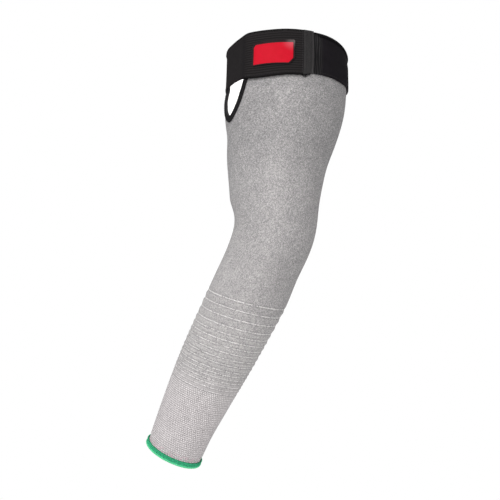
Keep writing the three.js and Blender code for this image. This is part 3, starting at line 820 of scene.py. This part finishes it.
def patch_layer(name, profile, material, shift=(0.0, 0.0), fill=None):
    """A moulded piece: profile is a list of (grow, height); the first ring is at the back."""
    rings = []
    for grow, h in profile:
        o = patch_outline(grow) + np.array(shift)
        rings.append((o, np.full(len(o), h)))
    centre = rings[-1][0].mean(0)
    last, lh = rings[-1]
    for k in range(1, 12):                    # the face, in towards the middle
        t = k / 12
        rings.append((last + (centre - last) * t, lh + (fill or 0) * (1 - (1 - t) ** 2)))
    rings.append((centre[None], np.array([lh[0] + (fill or 0)])))
    back0, bh = rings[0]
    back = [(back0 + (centre - back0) * k / 6, bh) for k in range(1, 6)]
    V, F, UV = [], [], []
    n = len(last)

    def place(p, h):
        deg = p[:, 0] / (RAD * 66.0)
        return around(p[:, 1], deg * RAD, radius_at(p[:, 1]) + STRAP_OFF + STRAP + h)

    pts = [place(o, h) for o, h in rings[:-1]]
    centre_top = place(rings[-1][0], rings[-1][1])
    bpts = [place(o, h) for o, h in back]
    centre_back = place(centre[None], bh[:1])
    grid = np.concatenate([*reversed(bpts), *pts])
    flat = np.concatenate([*[o for o, _ in reversed(back)], *[o for o, _ in rings[:-1]]])
    rows = len(bpts) + len(pts)
    idx = np.arange(rows * n).reshape(rows, n)
    q = ring_sweep(idx)
    uvq = flat[q]
    nv = rows * n
    k = np.arange(n)
    cap_top = np.stack([idx[-1, k], idx[-1, (k + 1) % n], np.full(n, nv)], -1)
    cap_back = np.stack([idx[0, (k + 1) % n], idx[0, k], np.full(n, nv + 1)], -1)
    allflat = np.concatenate([flat, centre[None], centre[None]])
    verts = np.concatenate([grid, centre_top, centre_back])
    ob = build(name, verts, [q, cap_top, cap_back], None, {"band": [uvq, allflat[cap_top], allflat[cap_back]]}, None, [material])
    return ob


# ---- folded tape round the notch -----------------------------------------------------------
def tape_material():
    n = Nodes("binding_tape")
    L, A = n.uv("tape")
    rib = n.minus(n.math("FRACT", n.times(L, 1 / 0.95)), 0.5)
    ridge = n.minus(1.0, n.times(rib, rib, 4.0))
    grain = n.noise(n.xyz(n.times(L, 1.2), n.times(A, 2.2), 0.0), 1.0, 3.0, 0.6)
    tone = n.plus(n.times(ridge, 0.45), n.times(grain, 0.55))
    color = n.ramp(tone, (0.2, (0.0030, 0.0029, 0.0031)), (0.55, (0.0075, 0.0070, 0.0076)), (0.95, (0.018, 0.017, 0.0185)))
    return n.finish(color, n.plus(n.times(ridge, 0.14), n.times(grain, 0.12)), 1.0, 0.9, specular=0.06)


def notch_outline():
    u = np.linspace(0, 1, 400)
    s = 2.8 + (NOTCH_DEEP - 2.8) * np.sin(u * np.pi / 2)
    w = notch_half(s, 0)
    W = np.concatenate([w, -w[:-1][::-1]])
    S = np.concatenate([s, s[:-1][::-1]])
    run = np.concatenate([[0], np.cumsum(np.hypot(np.diff(W), np.diff(S)))])
    return W, S, run


def notch_point(d, across, off):
    """d along the tape, "across" towards the opening, off from the knit's outer face; mm."""
    W, S, run = notch_outline()
    total = run[-1]
    d = np.clip(d, 0, total)
    w, s = np.interp(d, run, W), np.interp(d, run, S)
    a, b = np.clip(d - 1.2, 0, total), np.clip(d + 1.2, 0, total)
    dw, ds = np.interp(b, run, W) - np.interp(a, run, W), np.interp(b, run, S) - np.interp(a, run, S)
    long = np.hypot(dw, ds)
    w2, s2 = w - across * ds / long, s + across * dw / long
    return knit_surface(s2, NOTCH_DEG * RAD + w2 / radius_at(s2), off)


def notch_tape(material):
    air, thick, half, web, wing = 0.18, 0.68, 3.0, 2.1, 3.8
    over, under = air + thick, -KNIT - air
    below = under - thick
    # outline of the folded tape: outer wing, rounded fold towards the opening, inner wing, back inside
    sec = []
    sec += [(-wing + 0.0, air + 0.22), (-wing + 0.08, air + 0.46), (-wing + 0.35, over - 0.05)]
    sec += [(x, over + 0.05 * math.sin(6 * x)) for x in np.linspace(-wing + 0.8, half - 1.6, 7)]
    mid, rad_ = (over + below) / 2, (over - below) / 2
    for a in np.linspace(80, -80, 13):
        sec.append((half - 1.35 + 1.35 * math.cos(a * RAD), mid + rad_ * math.sin(a * RAD)))
    sec += [(x, below) for x in np.linspace(half - 1.6, -wing + 0.8, 7)]
    sec += [(-wing + 0.35, below + 0.05), (-wing + 0.08, below + 0.2), (-wing, under - 0.2), (-wing + 0.2, under)]
    sec += [(x, under) for x in np.linspace(-wing + 0.8, web - 0.5, 5)]
    sec += [(web, under + 0.4), (web, air - 0.4)]
    sec += [(x, air) for x in np.linspace(web - 0.5, -wing + 0.3, 5)]
    sec = np.array(sec)
    _, _, run = notch_outline()
    total = run[-1]
    n = 330
    d = np.linspace(0, total, n)
    rib = 0.05 * np.cos(2 * np.pi * d / 0.95)
    X, O = np.broadcast_arrays(sec[None, :, 0], sec[None, :, 1] + 0 * d[:, None])
    pts = notch_point(d[:, None] + 0 * X, X, O)
    m = len(sec)
    idx = np.arange(n * m).reshape(n, m)
    q = ring_sweep(idx, flip=False)
    along = np.broadcast_to(d[:, None], (n, m))
    edge = np.concatenate([[0], np.cumsum(np.hypot(*np.diff(sec, axis=0).T))])
    i, k = np.meshgrid(np.arange(n - 1), np.arange(m), indexing="ij")
    k2 = (k + 1) % m
    E = np.concatenate([edge, [edge[-1] + 0.5]])
    uv = np.stack([np.stack([along[i, k], E[k]], -1), np.stack([along[i, k], E[k + 1]], -1),
                   np.stack([along[i + 1, k], E[k + 1]], -1), np.stack([along[i + 1, k], E[k]], -1)], -2).reshape(-1, 4, 2)
    caps = [idx[0][::-1][None], idx[-1][None]]
    capuv = [np.zeros((1, m, 2)), np.zeros((1, m, 2))]
    return build("notch_tape", pts.reshape(-1, 3), [q, *caps], None, {"tape": [uv, *capuv]}, None, [material])


def thread_material(name, dark, light, scale=1.0, specular=0.08, rough=0.8, sheen=0.0):
    n = Nodes(name)
    L, A = n.uv("thread")
    ply = n.math("FRACT", n.plus(n.times(L, 1.3 / scale), n.times(A, 2.0)))
    lob = n.minus(1.0, n.math("POWER", n.math("ABSOLUTE", n.minus(n.times(ply, 2.0), 1.0)), 2.0))
    color = n.ramp(lob, (0.0, dark), (0.85, light))
    return n.finish(color, n.times(lob, 0.12 * scale), 1.0, rough, specular=specular, sheen=sheen, sheen_rough=0.4)


# ---- the camera, the light and the floor ------------------------------------------------------
def camera():
    cam = bpy.data.cameras.new("camera")
    ob = bpy.data.objects.new("camera", cam)
    right, up, back = (0.66044, 0.74985, 0.03937), (0.16924, -0.19974, 0.96512), (0.73156, -0.63074, -0.25882)
    m = Matrix.Identity(4)
    for k, axis in enumerate((right, up, back)):
        for r in range(3):
            m[r][k] = axis[r]
    m[0][3], m[1][3], m[2][3] = 1.0640, -0.9580, -0.5997
    ob.matrix_world = m
    cam.lens, cam.sensor_width, cam.sensor_fit = 104.855, 36, "AUTO"
    cam.clip_start, cam.clip_end = 0.05, 50
    bpy.context.scene.collection.objects.link(ob)
    bpy.context.scene.camera = ob
    return ob


def area_light(name, where, target, size, power, color=(1, 1, 1)):
    data = bpy.data.lights.new(name, "AREA")
    data.shape = "DISK"
    data.size = size
    data.energy = power
    data.color = color
    ob = bpy.data.objects.new(name, data)
    bpy.context.scene.collection.objects.link(ob)
    direction = (np.array(target) - np.array(where)).astype(float)
    from mathutils import Vector
    ob.matrix_world = Matrix.Translation(where) @ Vector(direction).to_track_quat("-Z", "Y").to_matrix().to_4x4()
    return ob


def stage():
    world = bpy.data.worlds.new("studio")
    world.use_nodes = True
    bg = world.node_tree.nodes["Background"]
    bg.inputs["Color"].default_value = (1.0, 1.0, 1.0, 1)
    # the studio's walls are dimmer far to the left and right of the arm
    side = world.node_tree.nodes.new("ShaderNodeVectorMath")
    side.operation = "DOT_PRODUCT"
    side.inputs[1].default_value = (0.66, 0.75, 0.04)
    co = world.node_tree.nodes.new("ShaderNodeTexCoord")
    world.node_tree.links.new(co.outputs["Generated"], side.inputs[0])
    dim = []
    for low, high, at_low, at_high in ((-0.95, -0.35, 0.66, 1.0), (0.25, 0.95, 1.0, 0.44)):
        m = world.node_tree.nodes.new("ShaderNodeMapRange")
        m.interpolation_type = "SMOOTHSTEP"
        for key, v in (("From Min", low), ("From Max", high), ("To Min", at_low), ("To Max", at_high)):
            m.inputs[key].default_value = v
        world.node_tree.links.new(side.outputs["Value"], m.inputs["Value"])
        dim.append(m.outputs["Result"])
    both = world.node_tree.nodes.new("ShaderNodeMath")
    both.operation = "MULTIPLY"
    for k in range(2):
        world.node_tree.links.new(dim[k], both.inputs[k])
    world.node_tree.links.new(both.outputs[0], bg.inputs["Strength"])
    bpy.context.scene.world = world
    me = bpy.data.meshes.new("floor")
    r = 14.0
    me.from_pydata([(-r, -r, -1.05), (r, -r, -1.05), (r, r, -1.05), (-r, r, -1.05)], [], [(0, 1, 2, 3)])
    floor = bpy.data.objects.new("floor", me)
    bpy.context.scene.collection.objects.link(floor)
    n = Nodes("floor_paint")
    co = n.add("ShaderNodeTexCoord").outputs["Object"]
    spread = n.noise(co, 1.5, 3.0, 0.5)
    n.finish(n.ramp(spread, (0.3, (0.80, 0.80, 0.80)), (0.7, (0.84, 0.84, 0.84))), None, 1.0, 0.9, specular=0.1)
    me.materials.append(n.mat)
    # main light: high on the camera's left; a weaker one lifts the middle of the arm
    area_light("key", (0.7, -2.3, 0.8), (-0.05, 0.0, -0.2), 1.1, 34.0, (1.0, 0.990, 0.982))
    area_light("fill", (1.9, -1.7, -0.3), (-0.08, 0.0, -0.26), 1.2, 19.0, (1.0, 0.970, 0.935))
    area_light("low", (0.25, 0.30, -0.62), (-0.12, 0.0, -0.38), 0.3, 0.55, (1.0, 0.985, 0.965))
    spot = bpy.data.lights.new("inside", "SPOT")
    spot.energy = 60.0
    spot.spot_size = 11.0 * RAD
    spot.spot_blend = 0.5
    spot.shadow_soft_size = 0.02
    lamp = bpy.data.objects.new("inside", spot)
    bpy.context.scene.collection.objects.link(lamp)
    from mathutils import Vector
    where, aim = Vector((0.247, 0.132, 0.495)), Vector((-0.051, -0.027, -0.058))
    lamp.matrix_world = Matrix.Translation(where) @ (aim - where).to_track_quat("-Z", "Y").to_matrix().to_4x4()
    view = bpy.context.scene.view_settings
    view.view_transform = "Standard"
    view.look = "None"
    view.exposure = 0.0
    view.gamma = 1.0
    return floor


camera()
stage()

# ---- pieces --------------------------------------------------------------------------------
knit = knit_tube()

web = webbing_material("elastic_webbing")
strap = arm_strap(web)
tip = end_piece(end_material())

base = patch_layer("patch_base", [(0.85, 0.30), (1.05, 0.45), (1.15, 1.0), (1.10, 1.40), (0.90, 1.66), (0.45, 1.70),
                                  (0.12, 1.62), (0.02, 1.2)],
                   rubber("patch_rim", (0.010, 0.005, 0.006), (0.016, 0.009, 0.010), (0.026, 0.016, 0.018), 0.10, 0.6,
                          (0.115, 0.098, 0.096), 9.0),
                   fill=-0.02)
face = patch_layer("patch_face", [(-1.1, 1.22), (-0.87, 1.26), (-0.83, 1.52), (-0.95, 1.70), (-1.2, 1.78)],
                   rubber("patch_red", (0.385, 0.0020, 0.0110), (0.420, 0.0028, 0.0140), (0.455, 0.0040, 0.0180), 0.07, 0.55,
                          (0.47, 0.085, 0.110), 13.0),
                   (0.1, 1.0), fill=0.10)

tape = notch_tape(tape_material())

# stitches along the tape's outer wing
_, _, run = notch_outline()
pitch = 2.5
count = int((run[-1] - 4) / pitch)
d0 = 2 + pitch * np.arange(count)
u = np.linspace(0, 1, 7)
dd = d0[:, None] + (pitch - 0.55) * u[None]
off = 0.80 + 0.24 * np.sin(np.pi * u)[None]
P = notch_point(dd, np.full_like(dd, -2.3), off + 0 * dd)
V, F, U = tubes(P, np.array([0.2, 0.1, 1.0]), np.broadcast_to(0.26 * np.sin(np.pi * (0.12 + 0.76 * u)) ** 0.5, dd.shape), 6)
tape_stitch = build("tape_stitches", V, F, None, {"thread": U}, None,
                    [thread_material("black_thread", (0.006, 0.006, 0.006), (0.030, 0.029, 0.030), 0.7)])

# overlocked wrist edge: a soft core and the threads wound over it
hem_s0, hem_s1 = LENGTH - 5.5, LENGTH
n_round = 240
ang = 2 * np.pi * np.arange(n_round) / n_round
core = [(hem_s0 + 0.3, 0.36), (hem_s0 + 1.2, 0.75), (hem_s0 + 2.6, 0.85), (hem_s1 - 2.4, 1.0), (hem_s1 - 1.3, 1.05),
        (hem_s1 - 0.75, 0.6), (hem_s1 - 0.55, 0.0), (hem_s1 - 0.6, -KNIT), (hem_s1 - 0.9, -KNIT - 0.7),
        (hem_s1 - 2.2, -KNIT - 0.8), (hem_s0 + 1.5, -KNIT - 0.7), (hem_s0 + 0.4, -KNIT - 0.4), (hem_s0 + 0.4, -KNIT - 0.25),
        (hem_s1 - 1.2, -KNIT - 0.25), (hem_s1 - 1.05, -KNIT * 0.5), (hem_s1 - 1.2, 0.12), (hem_s0 + 0.3, 0.12)]
core = np.array(core)
Vc = knit_surface(core[None, :, 0] + 0 * ang[:, None], ang[:, None] + 0 * core[None, :, 0], core[None, :, 1] + 0 * ang[:, None])
idx = np.arange(n_round * len(core)).reshape(n_round, len(core))
qc = ring_sweep(idx, closed_path=True)
uvc = np.zeros((len(qc), 4, 2))
loops_n = 172
phi = 2 * np.pi * np.arange(loops_n) / loops_n
prof = np.array([(hem_s0 - 0.25, 0.10), (hem_s0 + 0.2, 0.62), (hem_s0 + 1.2, 1.10), (hem_s0 + 2.4, 1.20), (hem_s0 + 3.5, 1.30),
                 (hem_s1 - 1.7, 1.50), (hem_s1 - 0.9, 1.42), (hem_s1 - 0.35, 1.0), (hem_s1 - 0.1, 0.3), (hem_s1 - 0.1, -0.8),
                 (hem_s1 - 0.4, -1.7), (hem_s1 - 1.1, -2.25), (hem_s1 - 2.2, -2.4), (hem_s1 - 3.8, -2.35), (hem_s0 + 0.6, -2.15)])
w = np.linspace(0, 1, len(prof))
jit = rng.uniform(-1, 1, (loops_n, 3))
skew = 2 * np.pi / loops_n * (1.5 * w[None] + 0.12 * jit[:, :1])
A_ = phi[:, None] + skew
S_ = prof[None, :, 0] + 0.18 * jit[:, 1:2] * (w[None] < 0.15)
O_ = prof[None, :, 1] + 0.07 * jit[:, 2:3]
P = knit_surface(S_, A_, O_)
side = np.stack([-np.sin(A_), np.cos(A_), 0 * A_], -1)
V1, F1, U1 = tubes(P, side, 0.56, 7)
# the looper thread: a shallow zigzag that lies over the loops' upper ends, and another on the lip
n2 = loops_n * 6
a2 = 2 * np.pi * np.arange(n2) / n2
zig = np.sin(a2 * loops_n)
P2 = knit_surface(hem_s0 + 0.55 + 0.45 * zig, a2, 1.28 + 0.18 * np.cos(a2 * loops_n))[None]
V2, F2, U2 = tubes(P2, outward(hem_s0, a2)[None], 0.36, 6, closed=True)
U2[0][..., 0] = 2.0                      # it has the colour of the loops' upper part
P3 = knit_surface(hem_s1 - 0.25 + 0.12 * zig, a2, -0.25 + 0.5 * np.cos(a2 * loops_n))[None]
V3, F3, U3 = tubes(P3, outward(hem_s0, a2)[None], 0.42, 6, closed=True)


def hem_material():
    n = Nodes("overlock_thread")
    L, A = n.uv("thread")
    rest = n.add("ShaderNodeTexCoord").outputs["Object"]
    ply = n.math("FRACT", n.plus(n.times(L, 0.9), n.times(A, 2.0)))
    lob = n.minus(1.0, n.math("POWER", n.math("ABSOLUTE", n.minus(n.times(ply, 2.0), 1.0)), 2.0))
    highlight_lip = n.step(L, 3.6, 5.0)
    head_shade = n.step(L, 1.3, 0.5)
    fray = n.noise(rest, 900.0, 2.0, 0.6)
    # painted light and shade on one green thread: the lower lip is painted lighter, the loops' upper part darker
    upper = n.ramp(n.plus(n.times(lob, 0.4), n.times(fray, 0.6)), (0.2, (0.012, 0.200, 0.095)), (0.8, (0.045, 0.400, 0.205)))
    lower = n.ramp(n.plus(n.times(lob, 0.4), n.times(fray, 0.6)), (0.2, (0.050, 0.455, 0.205)), (0.8, (0.150, 0.690, 0.365)))
    color = n.blend(highlight_lip, upper, lower)
    # painted shade at the loops' upper ends, along the hem's top edge
    color = n.blend(n.times(head_shade, 0.35), color, (0.010, 0.090, 0.045))
    return n.finish(color, n.plus(n.times(lob, 0.10), n.times(fray, 0.10)), 1.0, 0.75, specular=0.12)


hem_mat = hem_material()
V, F, U = joined([(Vc.reshape(-1, 3), [qc], [uvc]), (V1, F1, U1), (V2, F2, U2), (V3, F3, U3)])
hem = build("overlock_hem", V, F, None, {"thread": U}, None, [hem_mat])

# black overlock along the strap's top edge, from the tab's end round the back
deg_roll = np.arange(-16.5, 231.0, 1.35)
m_roll = len(deg_roll)
t_roll, _ = strap_edge(deg_roll)
grow = smooth((deg_roll + 16.5) / 7.0) * smooth((232 - deg_roll) / 12)
rr = (1.25 * (0.35 + 0.65 * grow))[:, None]
th = np.linspace(-70, 250, 12)[None] * RAD
skewd = np.linspace(0, 1.9, 12)[None]
D_ = deg_roll[:, None] + skewd
S_ = (t_roll + 1.05 + 0.9 * grow)[:, None] - rr * 1.25 * np.sin(th)
O_ = STRAP + 0.15 - 0.4 + rr * np.cos(th) * 0.95 - 1.0 * np.exp(-((D_ - 38) / 30) ** 2)
P = around(S_, D_ * RAD, strap_radius(D_, S_) + O_)
side = np.stack([-np.sin(D_ * RAD), np.cos(D_ * RAD), 0 * D_], -1)
Vr, Fr, Ur = tubes(P, side, 0.50 * (0.5 + 0.5 * grow)[:, None] + 0 * P[..., 0], 6)
n_core = 300
dc = np.linspace(-15.5, 231, n_core)
tc, _ = strap_edge(dc)
gc = smooth((dc + 16.5) / 7.0) * smooth((232 - dc) / 12)
sc = tc + 1.05 + 0.9 * gc
Pc = around(sc, dc * RAD, strap_radius(dc, sc) + STRAP + 0.10 - 1.0 * np.exp(-((dc - 38) / 30) ** 2))[None]
Vk, Fk, Uk = tubes(Pc, outward(sc, dc * RAD)[None], (0.25 + 0.85 * gc)[None], 8)
V, F, U = joined([(Vr, Fr, Ur), (Vk, Fk, Uk)])
roll = build("strap_roll", V, F, None, {"thread": U}, None,
             [thread_material("roll_thread", (0.0022, 0.0021, 0.0024), (0.0085, 0.0080, 0.0090), 1.2, specular=0.03)])


# machine stitches on the strap, as short raised threads
def stitches_along(degs0, deg_len, s_of, off_of, r=0.24, n=6):
    u = np.linspace(0, 1, n)
    D = degs0[:, None] + deg_len * u[None]
    S = s_of(D)
    O = off_of(D, S) + 0.22 * np.sin(np.pi * u)[None]
    P = around(S, D * RAD, O)
    side = np.stack([0 * D, 0 * D, np.ones_like(D)], -1)
    return tubes(P, side, np.broadcast_to(r * np.sin(np.pi * (0.12 + 0.76 * u)) ** 0.5, D.shape), 6)


def stitches_down(deg, s0, s1, pitch, length, off_of, r=0.26, n=6):
    st = np.arange(s0, s1 - length, pitch)
    u = np.linspace(0, 1, n)
    S = st[:, None] + length * u[None]
    D = np.full_like(S, deg)
    O = off_of(D, S) + 0.24 * np.sin(np.pi * u)[None]
    P = around(S, D * RAD, O)
    side = np.stack([-np.sin(D * RAD), np.cos(D * RAD), 0 * D], -1)
    return tubes(P, side, np.broadcast_to(r * np.sin(np.pi * (0.12 + 0.76 * u)) ** 0.5, D.shape), 6)


def on_strap(D, S):
    return strap_radius(D, S) + STRAP - 0.02


parts = []
a = np.arange(-14, 230, 2.75)
parts.append(stitches_along(a, 2.2, lambda D: strap_edge(D)[1] - 2.0, on_strap, 0.22))
a = np.arange(277.5, 331, 2.4)
parts.append(stitches_along(a, 1.9, lambda D: strap_edge(D)[1] - 2.6, on_strap, 0.22))
parts.append(stitches_along(a, 1.9, lambda D: strap_edge(D)[0] + 2.6, on_strap, 0.22))
for deg in (331.2,):
    t, b = (float(x) for x in strap_edge(np.array(deg)))
    parts.append(stitches_down(deg, t + 2.2, b - 2.2, 2.5, 2.0, on_strap, 0.30))


def on_tip(D, S):
    return radius_at(S) + STRAP_OFF + 1.9 - 0.16


for deg in (335.0, 340.1):
    parts.append(stitches_down(deg, 1.2, 43.6, 2.4, 1.9, on_tip, 0.26))
V, F, U = joined(parts)
strap_stitch = build("strap_stitches", V, F, None, {"thread": U}, None,
                     [thread_material("strap_thread", (0.010, 0.0095, 0.010), (0.038, 0.036, 0.038), 0.7)])

# a small tuft of pulled loops under the strap's end, and stray loops along its lower edge
m_t = 84
u = np.linspace(0, 1, 9)
dt = rng.uniform(331.0, 340.0, m_t)
bt = np.interp(dt, [331.0, 341.6], [46.6, 45.4])
ln = rng.uniform(1.4, 5.0, m_t) * np.exp(-((dt - 335.0) / 4.0) ** 2) + 0.8
sway = rng.uniform(-2.2, 2.2, m_t)
curl = rng.uniform(0.3, 1.3, m_t)
S_ = bt[:, None] - 0.8 + ln[:, None] * u[None]
D_ = dt[:, None] + (sway[:, None] * u[None] ** 1.5 + 0.5 * np.sin(4 * u[None] + sway[:, None])) * 0.5
O_ = 1.6 + curl[:, None] * np.sin(np.pi * u[None]) * 0.8 - 0.9 * u[None]
P = around(S_, D_ * RAD, radius_at(S_) + O_)
parts = [tubes(P, outward(S_, D_ * RAD) + np.array([0.3, 0.2, 0.1]), np.broadcast_to(0.21 * (1 - 0.5 * u), S_.shape), 5)]
m_f = 420
df = rng.uniform(-22, 232, m_f)
_, bf = strap_edge(df)
ln = rng.uniform(0.35, 1.3, m_f)
sway = rng.uniform(-1.2, 1.2, m_f)
u5 = np.linspace(0, 1, 5)
S_ = bf[:, None] - 0.5 + ln[:, None] * u5[None] + 0.2
D_ = df[:, None] + sway[:, None] * u5[None] ** 2 * 0.6
O_ = strap_radius(D_, S_) + rng.uniform(0.3, 1.2, m_f)[:, None] + 0.3 * u5[None]
P = around(S_, D_ * RAD, O_)
parts.append(tubes(P, outward(S_, D_ * RAD) + np.array([0.3, 0.2, 0.1]), np.broadcast_to(0.13 * (1 - 0.5 * u5), S_.shape), 4))
V, F, U = joined(parts)
fray = build("strap_fray", V, F, None, {"thread": U}, None,
             [thread_material("fray_thread", (0.008, 0.008, 0.009), (0.035, 0.033, 0.036), 0.5)])

for piece, slot, nodes in ((knit, "knit", ["knit_sleeve"]), (strap, "elastic_webbing", ["arm_band"]),
                           (tip, "end_tape", ["strap_end"]), (base, "moulded_patch", []), (face, "moulded_patch", ["label_patch"]),
                           (tape, "binding_tape", ["notch_binding"]), (tape_stitch, "binding_tape", []),
                           (hem, "overlock_thread", ["wrist_hem"]), (roll, "elastic_webbing", []),
                           (strap_stitch, "elastic_webbing", []), (fray, "elastic_webbing", [])):
    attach(piece, "root")
    if nodes:
        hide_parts(*nodes)
